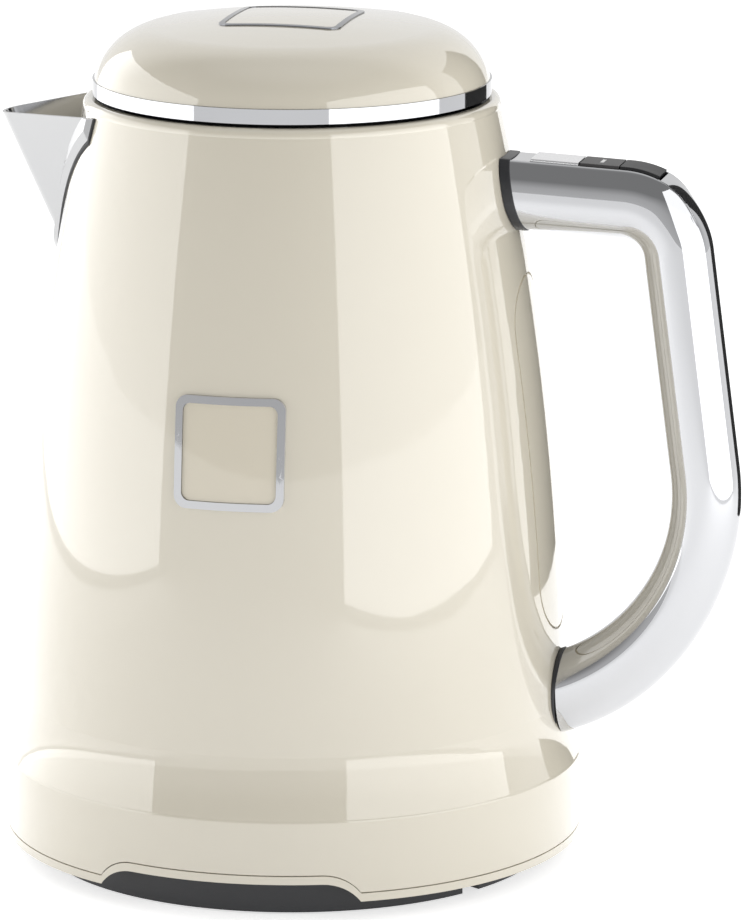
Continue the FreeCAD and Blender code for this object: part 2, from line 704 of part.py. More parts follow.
def spout_limits(end):
    """Room of the spout under its upper edges, no wider than an end outside the foot of the V."""
    half = SPOUT_FOOT_Y + end
    return below_spout_top().common(box(-FAR, 0, -half, half, 0, FAR))


def spout_pieces():
    inner = spout_wedge(-SPOUT_WALL / math.sin(SPOUT_SPREAD))
    near = FIT + GASKET_T
    foot = jug_outside(near).fuse(disc(SHOULDER_R, SHOULDER_Z - OVER, FAR))
    room = spout_limits(FLANGE_END)
    spout = spout_wedge(0).cut(inner).common(room).cut(foot)
    flange = spout_wedge(FLANGE_W).cut(inner).common(room).common(jug_outside(near + FLANGE_T)).cut(foot)
    gasket = spout_wedge(FLANGE_W + GASKET_W).cut(inner).common(spout_limits(FLANGE_END + GASKET_W))
    gasket = gasket.common(jug_outside(GASKET_T)).cut(jug_outside(FIT))
    save("spout", spout.fuse(flange).removeSplitter())
    save("spout_gasket", gasket)


def filter_pieces():
    frame = duct_bar(-FIT).cut(duct_bar(-DUCT_WALL))
    frame = frame.common(jug_outside(-FIT)).cut(disc(NECK_R - FILTER_IN, 0, FAR))
    mesh_x = -NECK_R - MESH_OUT
    net = duct_outline(-DUCT_WALL - FIT).extrude(V(MESH_T, 0, 0))
    net.translate(V(mesh_x, 0, 0))
    top = DUCT_TOP_Z - DUCT_WALL
    taper = (DUCT_HALF - DUCT_TIP_HALF) / (DUCT_H - DUCT_SIDE_H)
    holes = []
    for row in range(int((DUCT_H - 2 * DUCT_WALL) / MESH_PITCH)):
        z = top - MESH_PITCH * (row + 0.5) - FIT
        low = z - MESH_HOLE / 2
        half = DUCT_HALF - DUCT_WALL - taper * max(0, top - DUCT_SIDE_H - low)
        count = max(0, int((half - MESH_HOLE) * 2 / MESH_PITCH) + 1)
        for column in range(count):
            y = (column - (count - 1) / 2) * MESH_PITCH
            holes.append(box(mesh_x - OVER, mesh_x + MESH_T + OVER, y - MESH_HOLE / 2, y + MESH_HOLE / 2,
                             low, low + MESH_HOLE))
    save("filter_frame", frame)
    save("filter_mesh", net.cut(Part.Compound(holes)))


# Badge and rear panel

def front_bar(size, corner):
    """Rounded-square bar that runs out of the jug's front at the badge."""
    bar = rounded_square(size, corner).extrude(UP * FAR)
    bar.rotate(ORIGIN, OUT, 90)
    bar.translate(UP * BADGE_Z)
    return bar


def badge_pieces():
    hole_size = BADGE_SIZE - 2 * BADGE_BAND
    near = jug_outside(FIT)
    frame = front_bar(BADGE_SIZE, BADGE_CORNER_R).cut(front_bar(hole_size, BADGE_HOLE_R))
    plate = front_bar(hole_size - 2 * FIT, BADGE_HOLE_R)
    save("badge_frame", frame.common(jug_outside(BADGE_PROUD)).cut(near))
    save("badge_plate", plate.common(jug_outside(PLATE_PROUD)).cut(near))


def panel_bar(grow):
    """Stadium-shaped bar that runs out of the jug's rear, grown all round."""
    half = PANEL_HALF + grow
    z0, z1 = PANEL_Z0 + PANEL_HALF, PANEL_Z1 - PANEL_HALF
    edges = [Part.makeLine(V(0, -half, z0), V(0, -half, z1)),
             Part.Arc(V(0, -half, z1), V(0, 0, z1 + half), V(0, half, z1)).toShape(),
             Part.makeLine(V(0, half, z1), V(0, half, z0)),
             Part.Arc(V(0, half, z0), V(0, 0, z0 - half), V(0, -half, z0)).toShape()]
    return face_of(edges).extrude(V(FAR, 0, 0))


def rear_panel():
    """Flush cover with a lip behind the shell's opening."""
    lip_out = jug_outside(-SHELL_WALL - FIT)
    lip_in = jug_outside(-SHELL_WALL - FIT - PANEL_T)
    plug = panel_bar(0).common(jug_outside(0)).cut(lip_in)
    lip = panel_bar(PANEL_LIP).common(lip_out).cut(lip_in)
    save("rear_panel", plug.fuse(lip).removeSplitter())


# Handle

ARM_TILT = math.radians(ARM_FALL_DEG)
ARM_ALONG = V(math.cos(ARM_TILT), 0, -math.sin(ARM_TILT))
ARM_OUT = V(math.sin(ARM_TILT), 0, math.cos(ARM_TILT))


def arm_point(s, y, v):
    """Point at s along the upper arm from its marked point, y across and v out from the axis."""
    return V(ARM_X, 0, ARM_Z) + ARM_ALONG * s + ACROSS * y + ARM_OUT * v


def along_arm(x):
    return (x - ARM_X) / math.cos(ARM_TILT)


def handle_path():
    """Bend start along the arm, bend centre, bend turn, grip ends, lower arc centre."""
    lean = math.radians(GRIP_LEAN_DEG)
    centre = V(LOWER_ARC_X, 0, LOWER_ARC_Z)
    grip_low = centre + V(math.cos(lean), 0, math.sin(lean)) * LOWER_ARC_R
    down = V(math.sin(lean), 0, -math.cos(lean))
    gap = grip_low - arm_point(0, 0, 0)
    cross = ARM_ALONG.x * down.z - ARM_ALONG.z * down.x
    s = (gap.x * down.z - gap.z * down.x) / cross
    turn = math.pi / 2 - lean - ARM_TILT
    tangent = BEND_R * math.tan(turn / 2)
    bend_s = s - tangent
    grip_top = arm_point(s, 0, 0) + down * tangent
    return bend_s, arm_point(bend_s, 0, -BEND_R), math.degrees(turn), grip_top, grip_low, centre


BEND_S, BEND_CENTRE, BEND_TURN, GRIP_TOP, GRIP_LOW, ARC_CENTRE = handle_path()
ROOT_S = along_arm(0)
SLOT_S = along_arm(RELEASE_X0) - BUTTON_GAP
SLOT_HALF = BUTTON_W / 2 + BUTTON_GAP
LEVER_PIVOT = arm_point(along_arm(LEVER_PIVOT_X), 0, -LEVER_DROP)
LEVER_TURN = RELEASE_TRAVEL / LEVER_REACH
STEM_S_RELEASE = along_arm((RELEASE_X0 + RELEASE_X1) / 2)
STEM_S_POWER = along_arm((POWER_X0 + POWER_X1) / 2)
STEM_S_TEMPERATURE = along_arm(TEMPERATURE_X0 + STEM)
BUTTON_TOP_V = FLAT_V + BUTTON_PROUD
BUTTON_LOW_V = BUTTON_TOP_V - BUTTON_T
CARRIER_TOP_V = BUTTON_LOW_V - RELEASE_TRAVEL - CARRIER_GAP
CARRIER_LOW_V = CARRIER_TOP_V - CARRIER_T
SWITCH_TOP_V = CARRIER_LOW_V - PRESS_TRAVEL
BOARD_TOP_V = SWITCH_TOP_V - SWITCH_H
BOARD_LOW_V = BOARD_TOP_V - BOARD_T
LEVER_TOP_V = LEVER_T / 2 - LEVER_DROP


def round_bar(r):
    """The handle's whole route as a round bar."""
    root = arm_point(ROOT_S, 0, 0)
    bend = arm_point(BEND_S, 0, 0)
    grip_run = GRIP_LOW - GRIP_TOP
    arm = Part.makeCylinder(r, BEND_S - ROOT_S, root, ARM_ALONG)
    upper = face_of([Part.makeCircle(r, bend, ARM_ALONG)]).revolve(BEND_CENTRE, ACROSS, BEND_TURN)
    grip = Part.makeCylinder(r, grip_run.Length, GRIP_TOP, grip_run)
    lower = face_of([Part.makeCircle(r, GRIP_LOW, grip_run)]).revolve(ARC_CENTRE, ACROSS, LOWER_TURN)
    return joined([arm, upper, grip, lower])


def section_at(points, s):
    """Face of a closed section of (y, v) moves, square to the arm at s."""
    edges = []
    here = arm_point(s, *points[0])
    for move in points[1:] + points[:1]:
        if isinstance(move[0], tuple):
            end = arm_point(s, *move[1])
            edges.append(Part.Arc(here, arm_point(s, *move[0]), end).toShape())
        else:
            end = arm_point(s, *move)
            edges.append(Part.makeLine(here, end))
        here = end
    return face_of(edges)


def strip_bar(points, s0, s1, bend_deg=0):
    """Section run along the arm from s0 to s1, then on round the bend."""
    bar = section_at(points, s0).extrude(ARM_ALONG * (s1 - s0))
    if bend_deg > 0:
        bar = bar.fuse(section_at(points, BEND_S).revolve(BEND_CENTRE, ACROSS, bend_deg)).removeSplitter()
    return bar


def cap_section(grow):
    """Flat-topped upper half of the arm's section."""
    flat, top = FLAT_HALF + grow / 2, FLAT_V + grow
    side = (TUBE_R - CAP_SIDE_IN + grow, FLAT_V - CAP_SIDE_DROP)
    foot_y = math.sqrt((TUBE_R + grow) ** 2 - CAP_FOOT_V ** 2) - FIT
    root_y = foot_y - CAP_ROOT
    return [(-foot_y, CAP_FOOT_V), ((-side[0], side[1]), (-flat, top)), (flat, top),
            (side, (foot_y, CAP_FOOT_V)), (root_y, -CAP_ROOT), (-root_y, -CAP_ROOT)]


def plain_section(y0, y1, v0, v1):
    return [(y0, v0), (y1, v0), (y1, v1), (y0, v1)]


def crowned_section(half, v0, v1, corner):
    """Rectangle with its two upper corners rounded."""
    way = corner * ROUND_WAY
    left = ((-half + way, v1 - way), (-half, v1 - corner))
    right = ((half - way, v1 - way), (half - corner, v1))
    return [(-half, v0), (half, v0), (half, v1 - corner), right, (-half + corner, v1), left]


def rear_half(z0, z1):
    return box(0, FAR, -FAR, FAR, z0, z1)


def outermost(shape):
    return max(shape.Solids, key=lambda solid: solid.BoundBox.XMax)


def handle_pieces():
    """Chrome tube with the flat strip on its arm, and the black collars at its ends."""
    low_half = rear_half(-FAR, PANEL_MID_Z)
    high_half = rear_half(PANEL_MID_Z, FAR)
    bore = round_bar(BORE_R)
    slot_deg = TEMPERATURE_DEG + math.degrees(BUTTON_END_GAP / (BEND_R + FLAT_V))
    slot = strip_bar(plain_section(-SLOT_HALF, SLOT_HALF, 0, 2 * FLAT_V), SLOT_S, BEND_S, slot_deg)
    tube = round_bar(TUBE_R).fuse(strip_bar(cap_section(0), ROOT_S, BEND_S, CAP_END_DEG)).removeSplitter()
    tube = tube.cut(bore).cut(slot)
    tube = tube.cut(jug_outside(UPPER_COLLAR_T).common(high_half)).cut(jug_outside(LOWER_COLLAR_T).common(low_half))
    arm = Part.makeCylinder(TUBE_R + COLLAR_PROUD, BEND_S - ROOT_S, arm_point(ROOT_S, 0, 0), ARM_ALONG)
    upper = arm.fuse(strip_bar(cap_section(COLLAR_PROUD), ROOT_S, BEND_S)).cut(bore)
    upper = upper.common(jug_outside(UPPER_COLLAR_T - FIT)).cut(jug_outside(FIT))
    lower = round_bar(TUBE_R + COLLAR_PROUD).cut(bore).common(low_half)
    lower = lower.common(jug_outside(LOWER_COLLAR_T - FIT)).cut(jug_outside(FIT))
    save("handle_tube", outermost(tube))
    save("upper_collar", outermost(upper))
    save("lower_collar", outermost(lower))
    handle_inserts(high_half, low_half)


def handle_inserts(high_half, low_half):
    """Plugs in the tube's ends and the screws that pull them to the shell."""
    plug = round_bar(BORE_R - FIT).cut(jug_outside(FIT))
    upper_l = LEVER_PIVOT_X + INSERT_TAIL - ARM_ROOT_X
    upper = outermost(plug.common(high_half).common(jug_outside(upper_l)))
    lower = outermost(plug.common(low_half).common(jug_outside(LOWER_INSERT_L)))
    room = strip_bar(plain_section(-FAR, FAR, BOARD_LOW_V - FIT, FAR), SLOT_S, BEND_S)
    upper = upper.cut(lever_way()).cut(room).cut(cross_pin(LEVER_PIVOT.x, LEVER_PIVOT.z, PIN_R + FIT / 2, PIVOT_HALF))
    for way in screw_ways(SCREW_R + FIT):
        upper = upper.cut(way)
        lower = lower.cut(way)
    save("handle_insert_upper", upper)
    save("handle_insert_lower", lower)
    save("handle_screws", Part.Compound(screw_ways(SCREW_R)))


def lever_way():
    """Passage of the release lever from the handle through the wall, deep enough for its swing."""
    x0 = HINGE_X - LEVER_ROOM_IN
    x1 = LEVER_PIVOT_X + LEVER_T / 2 + LEVER_SIDE_GAP
    half = LEVER_HALF + LEVER_SIDE_GAP
    drop = (LEVER_PIVOT_X - x0) * math.tan(LEVER_TURN) + MOVE_GAP
    z0 = LEVER_PIVOT.z - LEVER_T / 2 - drop
    return box(x0, x1, -half, half, z0, LEVER_PIVOT.z + LEVER_T / 2 + LEVER_ROOM_UP)


def lower_axis():
    """Point where the lower arc meets the wall, and its direction there."""
    x = FOOT_WALL_R
    z = LOWER_ARC_Z - math.sqrt(LOWER_ARC_R ** 2 - (x - LOWER_ARC_X) ** 2)
    out = V(LOWER_ARC_Z - z, 0, x - LOWER_ARC_X)
    return V(x, 0, z), out.normalize()


def screw_ways(r):
    """Screws from inside the wall into the handle's ends, their shanks of radius r."""
    head_x = ARM_ROOT_X - SHELL_WALL - SCREW_SEAT
    ways = []
    for side in (-1, 1):
        start = arm_point(along_arm(head_x), side * HANDLE_SCREW_Y, 0)
        ways.append(screw_along(start, ARM_ALONG, r))
    place, out = lower_axis()
    ways.append(screw_along(place - out * (SHELL_WALL + SCREW_SEAT), out, r))
    return ways


def screw_along(start, direction, r):
    head = Part.makeCylinder(SCREW_HEAD_R, SCREW_HEAD_H, start - direction * SCREW_HEAD_H, direction)
    return head.fuse(Part.makeCylinder(r, HANDLE_SCREW_L, start, direction)).removeSplitter()


# Controls

def stem(s, half, v0, v1):
    return strip_bar(plain_section(-half, half, v0, v1), s - half, s + half)


def button(x0, s1, bend_deg, stem_s, stem_low):
    section = crowned_section(BUTTON_W / 2, BUTTON_LOW_V, BUTTON_TOP_V, BUTTON_EDGE_R)
    body = strip_bar(section, along_arm(x0), s1, bend_deg)
    return body.fuse(stem(stem_s, STEM / 2, stem_low, BUTTON_LOW_V)).removeSplitter()


def control_pieces():
    press_low = SWITCH_TOP_V + PRESS_TRAVEL + PRESS_REST
    release = button(RELEASE_X0, along_arm(RELEASE_X1), 0, STEM_S_RELEASE, LEVER_TOP_V + MOVE_GAP)
    power = button(POWER_X0, along_arm(POWER_X1), 0, STEM_S_POWER, press_low)
    temperature = button(TEMPERATURE_X0, BEND_S, TEMPERATURE_DEG, STEM_S_TEMPERATURE, press_low)
    carrier_half = SLOT_HALF - FIT
    carrier = strip_bar(plain_section(-carrier_half, carrier_half, CARRIER_LOW_V, CARRIER_TOP_V),
                        SLOT_S + FIT, BEND_S, TEMPERATURE_DEG)
    board_s0 = along_arm(POWER_X0)
    board_s1 = STEM_S_TEMPERATURE + SWITCH_W
    for y0 in (-BOARD_HALF, BOARD_HALF - LEG_T):
        leg = plain_section(y0, y0 + LEG_T, BOARD_TOP_V + FIT, CARRIER_TOP_V - CARRIER_T / 2)
        carrier = carrier.fuse(strip_bar(leg, board_s0, board_s1))
    for s in (STEM_S_RELEASE, STEM_S_POWER, STEM_S_TEMPERATURE):
        carrier = carrier.cut(stem(s, STEM / 2 + MOVE_GAP, -FAR, FAR))
    board = strip_bar(plain_section(-BOARD_HALF, BOARD_HALF, BOARD_LOW_V, BOARD_TOP_V), board_s0, board_s1)
    switches = [stem(s, SWITCH_W / 2, BOARD_TOP_V + FIT, SWITCH_TOP_V) for s in (STEM_S_POWER, STEM_S_TEMPERATURE)]
    save("lid_release_button", release)
    save("power_button", power)
    save("temperature_button", temperature)
    save("button_carrier", carrier.removeSplitter())
    save("control_board", board)
    save("tact_switches", Part.Compound(switches))


def latch_pieces():
    """Lever from the release button to the toe of the lid's tail, and its pin in the handle."""
    x, z = LEVER_PIVOT.x, LEVER_PIVOT.z
    low, high = z - LEVER_T / 2, z + LEVER_T / 2
    press = arm_point(STEM_S_RELEASE, 0, LEVER_TOP_V)
    post_x0 = TAIL_X0 - LEVER_POST_T / 2
    post_x1 = post_x0 + LEVER_POST_T
    post_z = TAIL_Z0 - MOVE_GAP
    outline = path((post_x0, low), (x, low), ((x + LEVER_T / 2, z), (x, high)), (press.x, press.z),
                   (post_x1, press.z), (post_x1, post_z), (post_x0, post_z), (post_x0, low))
    lever = slab(outline, LEVER_HALF).cut(cross_pin(x, z, PIN_R + PIN_FIT, FAR))
    save("release_lever", lever)
    save("release_pivot", cross_pin(x, z, PIN_R, PIVOT_HALF - FIT))


# Lid

def dome_solid(offset, low_z):
    """Solid under the dome, its skin moved out by an offset, down to a height."""
    corner_x = LID_R + DOME_EDGE_OUT - DOME_CORNER_R
    corner_z = RING_Z1 - DOME_CORNER_DROP
    reach = DOME_CROWN_R - DOME_CORNER_R
    crown_z = corner_z - math.sqrt(reach ** 2 - corner_x ** 2)
    crown_r = DOME_CROWN_R + offset
    corner_r = DOME_CORNER_R + offset
    lean = math.asin(corner_x / reach)
    edge = math.asin((low_z - corner_z) / corner_r)
    half = (math.pi / 2 - lean + edge) / 2
    start = (corner_x + corner_r * math.cos(edge), low_z)
    way = (corner_x + corner_r * math.cos(half), corner_z + corner_r * math.sin(half))
    meet = (crown_r * math.sin(lean), crown_z + crown_r * math.cos(lean))
    top_way = (crown_r * math.sin(lean / 2), crown_z + crown_r * math.cos(lean / 2))
    return turned((0, low_z), start, (way, meet), (top_way, (0, crown_z + crown_r)))


def lid_bar(size, corner):
    bar = rounded_square(size, corner).extrude(UP * FAR)
    bar.translate(UP * RING_Z1)
    return bar


def hinge_notch():
    """Room for the hinge lugs in the rear of the lid."""
    half = LUG_Y0 + LUG_T + NOTCH_SIDE
    return box(MOUTH_R + LUG_SET - MOVE_GAP, FAR, -half, half, 0, FAR)


def lid_pieces():
    dome_z = RING_Z1 + FIT
    dome = dome_solid(0, dome_z).cut(dome_solid(-DOME_WALL, dome_z))
    inside = dome_solid(-DOME_WALL / 2, dome_z)
    ledge_r = RING_IN_R - RING_LEDGE
    ring_piece = turned((LID_R, RING_Z0), (LID_R, RING_Z1), (ledge_r, RING_Z1), (ledge_r, RING_Z1 - RING_WALL),
                        (RING_IN_R, RING_Z1 - RING_WALL), (RING_IN_R, RING_Z0))
    cup_r = PLUG_R - PLUG_WALL
    cup_z = PLUG_Z0 + PLUG_WALL
    liner_r = RING_IN_R - FIT
    liner = turned((0, PLUG_Z0), (PLUG_R, PLUG_Z0), (PLUG_R, LINER_Z0), (liner_r, LINER_Z0), (liner_r, LINER_Z1),
                   (cup_r, LINER_Z1), (cup_r, cup_z), (0, cup_z))
    post_r = PLUG_R + LID_POST_OUT
    head_z = LINER_Z0 - SCREW_HEAD_H - FIT
    screws = []
    for third in range(3):
        x, y = polar(post_r, 60 + 120 * third)
        below = disc(SCREW_HEAD_R, LINER_Z1 + FIT, dome_z, x, y)
        post = disc(SCREW_HEAD_R, dome_z, FAR, x, y).common(inside)
        screws.append(screw(x, y, head_z, SCREW_L))
        dome = joined([dome, below, post]).cut(disc(SCREW_R, 0, head_z + SCREW_L, x, y))
        liner = liner.cut(disc(SCREW_R + FIT, LINER_Z0 - OVER, FAR, x, y))
    seal_z0 = PLUG_Z0 + SEAL_RISE
    save("lid_dome", dome)
    save("lid_ring", ring_piece.cut(hinge_notch().common(disc(RING_IN_R, 0, FAR))))
    save("lid_liner", liner.cut(hinge_notch()))
    save("lid_screws", Part.Compound(screws))
    save("lid_seal", ring(PLUG_R + FIT, MOUTH_R - MOVE_GAP, seal_z0, seal_z0 + SEAL_T))


def lid_trim():
    """Bright frame and its inlay on the crown of the lid."""
    hole_size = LID_FRAME_SIZE - 2 * LID_FRAME_BAND
    near = dome_solid(FIT, RING_Z1)
    frame = lid_bar(LID_FRAME_SIZE, LID_FRAME_CORNER_R).cut(lid_bar(hole_size, LID_FRAME_HOLE_R))
    inlay = lid_bar(hole_size - 2 * FIT, LID_FRAME_HOLE_R)
    save("lid_frame", frame.common(dome_solid(LID_FRAME_PROUD, RING_Z1)).cut(near))
    save("lid_inlay", inlay.common(dome_solid(LID_INLAY_PROUD, RING_Z1)).cut(near))


def lid_knuckle():
    """Arm from the liner to the hinge pin, with the tail that the latch holds."""
    barrel = cross_pin(HINGE_X, HINGE_Z, KNUCKLE_R, KNUCKLE_HALF)
    arm = box(HINGE_X - KNUCKLE_REACH, HINGE_X, -KNUCKLE_HALF, KNUCKLE_HALF, LINER_Z1 + FIT, HINGE_Z + KNUCKLE_R)
    tail = box(TAIL_X0, TAIL_X0 + TAIL_T, -TAIL_HALF, TAIL_HALF, TAIL_Z0, HINGE_Z)
    save("lid_knuckle", joined([arm, barrel, tail]).cut(cross_pin(HINGE_X, HINGE_Z, PIN_R + PIN_FIT, FAR)))


def main():
    os.makedirs("parts", exist_ok=True)
    duct = duct_bar(0)
    wall_cuts = [duct, panel_bar(PANEL_GROOVE).common(jug_outside(OVER)), lever_way()]
    base_pieces()
    underside()
    heater_pieces(duct)
    save("body_shell", body_shell(wall_cuts + screw_ways(SCREW_R + FIT)))
    mouth_ring()
    spout_pieces()
    filter_pieces()
    badge_pieces()
    rear_panel()
    handle_pieces()
    control_pieces()
    latch_pieces()
    lid_pieces()
    lid_trim()
    lid_knuckle()


main()
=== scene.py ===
import json
import math

import bmesh
import bpy
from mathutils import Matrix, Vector


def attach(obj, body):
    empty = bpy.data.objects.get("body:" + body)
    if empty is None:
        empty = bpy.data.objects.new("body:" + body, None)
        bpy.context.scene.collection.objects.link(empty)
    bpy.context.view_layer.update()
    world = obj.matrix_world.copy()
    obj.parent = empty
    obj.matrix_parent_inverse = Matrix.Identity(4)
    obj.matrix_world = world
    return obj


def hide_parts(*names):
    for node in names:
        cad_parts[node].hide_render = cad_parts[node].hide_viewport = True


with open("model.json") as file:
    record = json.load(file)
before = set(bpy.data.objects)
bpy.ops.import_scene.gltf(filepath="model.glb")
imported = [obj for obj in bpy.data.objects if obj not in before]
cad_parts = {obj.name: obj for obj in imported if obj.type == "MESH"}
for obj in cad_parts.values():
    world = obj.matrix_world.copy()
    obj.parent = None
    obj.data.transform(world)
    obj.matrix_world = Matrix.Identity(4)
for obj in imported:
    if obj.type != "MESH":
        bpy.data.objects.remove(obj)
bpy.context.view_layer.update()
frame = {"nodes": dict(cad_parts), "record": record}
nodes = frame["nodes"]
scene = bpy.context.scene
scene.view_settings.view_transform = "Standard"

# Camera at the photograph's viewing angle
CAM_PLACE = (0.4267, -1.7115, 0.5238)
CAM_TURN_DEG = (76.994, 0.0, 13.249)
CAM_LENS = 241.0
CAM_SENSOR = 36.0
CAM_FAR = 50.0

camera = bpy.data.objects.new("camera", bpy.data.cameras.new("camera"))
scene.collection.objects.link(camera)
camera.location = CAM_PLACE
camera.rotation_euler = [math.radians(a) for a in CAM_TURN_DEG]
camera.data.lens = CAM_LENS
camera.data.sensor_width = CAM_SENSOR
camera.data.clip_end = CAM_FAR
scene.camera = camera


# Materials

FINE_DETAIL = 2.0
PAINT_PATCHES = 26.0
PAINT_ROUGH_PATCHES = 55.0
PAINT_ROUGH = (0.045, 0.075)
PAINT_RIPPLES = 420.0
PAINT_RIPPLE_STRENGTH = 0.015
PAINT_RIPPLE_DEPTH = 0.0004
PAINT_IOR = 1.5
COAT_ROUGH = 0.02
COAT_IOR = 1.7
METAL_PATCHES = 30.0
PLASTIC_PATCHES = 40.0
PLASTIC_ROUGH_PATCHES = 90.0
PLASTIC_GRAIN_DEPTH = 0.0003
KEY_SPECULAR = 0.3
MATT_ROUGH = 0.9


def new_material(name):
    material = bpy.data.materials.new(name)
    material.use_nodes = True
    tree = material.node_tree
    return material, tree, tree.nodes["Principled BSDF"]


def noise(tree, scale, detail=4.0):
    place = tree.nodes.new("ShaderNodeTexCoord")
    texture = tree.nodes.new("ShaderNodeTexNoise")
    texture.inputs["Scale"].default_value = scale
    texture.inputs["Detail"].default_value = detail
    tree.links.new(place.outputs["Object"], texture.inputs["Vector"])
    return texture.outputs["Fac"]


def ramp(tree, source, low, high):
    node = tree.nodes.new("ShaderNodeMapRange")
    node.inputs["To Min"].default_value = low
    node.inputs["To Max"].default_value = high
    tree.links.new(source, node.inputs["Value"])
    return node.outputs["Result"]


def mottle(tree, source, dark, light):
    node = tree.nodes.new("ShaderNodeMix")
    node.data_type = "RGBA"
    node.inputs["A"].default_value = (*dark, 1.0)
    node.inputs["B"].default_value = (*light, 1.0)
    tree.links.new(source, node.inputs["Factor"])
    return node.outputs["Result"]


def bump(tree, source, strength, distance):
    node = tree.nodes.new("ShaderNodeBump")
    node.inputs["Strength"].default_value = strength
    node.inputs["Distance"].default_value = distance
    tree.links.new(source, node.inputs["Height"])
    return node.outputs["Normal"]


def enamel(name, dark, light):
    """Gloss paint with a faint unevenness of colour and surface."""
    material, tree, shader = new_material(name)
    colour = mottle(tree, noise(tree, PAINT_PATCHES), dark, light)
    tree.links.new(colour, shader.inputs["Base Color"])
    rough = ramp(tree, noise(tree, PAINT_ROUGH_PATCHES), *PAINT_ROUGH)
    tree.links.new(rough, shader.inputs["Roughness"])
    ripples = noise(tree, PAINT_RIPPLES, FINE_DETAIL)
    ripple = bump(tree, ripples, PAINT_RIPPLE_STRENGTH, PAINT_RIPPLE_DEPTH)
    tree.links.new(ripple, shader.inputs["Normal"])
    shader.inputs["IOR"].default_value = PAINT_IOR
    shader.inputs["Coat Weight"].default_value = 1.0
    shader.inputs["Coat Roughness"].default_value = COAT_ROUGH
    shader.inputs["Coat IOR"].default_value = COAT_IOR
    return material


def metal(name, dark, light, rough_low, rough_high, grain):
    """Bare metal with fine handling marks in its roughness."""
    material, tree, shader = new_material(name)
    shader.inputs["Metallic"].default_value = 1.0
    colour = mottle(tree, noise(tree, METAL_PATCHES), dark, light)
    tree.links.new(colour, shader.inputs["Base Color"])
    rough = ramp(tree, noise(tree, grain), rough_low, rough_high)
    tree.links.new(rough, shader.inputs["Roughness"])
    return material


def plastic(name, dark, light, rough_low, rough_high, grain, depth):
    """Moulded plastic or rubber with a fine spark-eroded grain."""
    material, tree, shader = new_material(name)
    colour = mottle(tree, noise(tree, PLASTIC_PATCHES), dark, light)
    tree.links.new(colour, shader.inputs["Base Color"])
    rough = ramp(tree, noise(tree, PLASTIC_ROUGH_PATCHES), rough_low, rough_high)
    tree.links.new(rough, shader.inputs["Roughness"])
    relief = bump(tree, noise(tree, grain, FINE_DETAIL), depth, PLASTIC_GRAIN_DEPTH)
    tree.links.new(relief, shader.inputs["Normal"])
    return material


CREAM = enamel("cream_enamel", (0.765, 0.712, 0.588), (0.785, 0.732, 0.608))
INLAY = enamel("inlay_enamel", (0.755, 0.690, 0.550), (0.775, 0.710, 0.570))
CHROME = metal("polished_chrome", (0.55, 0.555, 0.57), (0.58, 0.585, 0.60), 0.02, 0.05, 60.0)
SPOUT = metal("spout_steel", (0.40, 0.402, 0.406), (0.42, 0.422, 0.426), 0.10, 0.16, 180.0)
# Chrome of the lid ring, made darker than the handle's chrome: painted shade that stands in for darker
# reflections on the ring
RING_CHROME_PAINTED_SHADE = metal("ring_chrome_painted_shade", (0.46, 0.465, 0.48), (0.50, 0.505, 0.52), 0.03, 0.06, 60.0)
# Chrome of the lid frame, made far darker than real chrome: a painted dark reflection along the frame
CHROME_PAINTED_DARK_REFLECTION = metal("chrome_painted_dark_reflection", (0.20, 0.205, 0.22), (0.22, 0.225, 0.24), 0.06, 0.10, 60.0)
SATIN = metal("satin_silver", (0.84, 0.84, 0.85), (0.88, 0.88, 0.89), 0.22, 0.30, 300.0)
STEEL = metal("brushed_steel", (0.56, 0.56, 0.57), (0.64, 0.64, 0.65), 0.22, 0.38, 240.0)
BRASS = metal("contact_brass", (0.62, 0.45, 0.20), (0.70, 0.53, 0.26), 0.20, 0.32, 200.0)
BLACK = plastic("black_moulding", (0.020, 0.021, 0.024), (0.028, 0.029, 0.033), 0.30, 0.42, 1400.0, 0.10)
KEY = plastic("dark_key", (0.060, 0.058, 0.059), (0.072, 0.070, 0.071), 0.36, 0.46, 1500.0, 0.08)
DEEP_KEY = plastic("deep_key", (0.018, 0.018, 0.019), (0.024, 0.024, 0.025), 0.36, 0.46, 1500.0, 0.08)
for key in (KEY, DEEP_KEY):
    key.node_tree.nodes["Principled BSDF"].inputs["Specular IOR Level"].default_value = KEY_SPECULAR
RUBBER = plastic("rubber", (0.014, 0.014, 0.015), (0.022, 0.022, 0.023), 0.55, 0.70, 1800.0, 0.15)
BOARD = plastic("board_green", (0.03, 0.16, 0.07), (0.04, 0.20, 0.09), 0.35, 0.45, 900.0, 0.05)

BY_SLOT = {"cream": CREAM, "chrome": CHROME, "steel": STEEL, "black": BLACK, "dark_key": KEY,
           "silver_key": SATIN, "rubber": RUBBER, "brass": BRASS, "board": BOARD, "inlay": INLAY}


def dress(obj, material):
    obj.data.materials.clear()
    obj.data.materials.append(material)


for part in frame["record"]["subparts"]:
    dress(nodes[part["node"]], BY_SLOT[part["material_slot"]])

dress(nodes["spout"], SPOUT)
# The lid ring takes the darkened chrome, with painted shade in its colour
dress(nodes["lid_ring"], RING_CHROME_PAINTED_SHADE)
# The lid frame takes the darkened chrome, a painted dark reflection in its colour
dress(nodes["lid_frame"], CHROME_PAINTED_DARK_REFLECTION)
dress(nodes["temperature_button"], DEEP_KEY)


# Handle, lofted in millimetres along the route of its tube

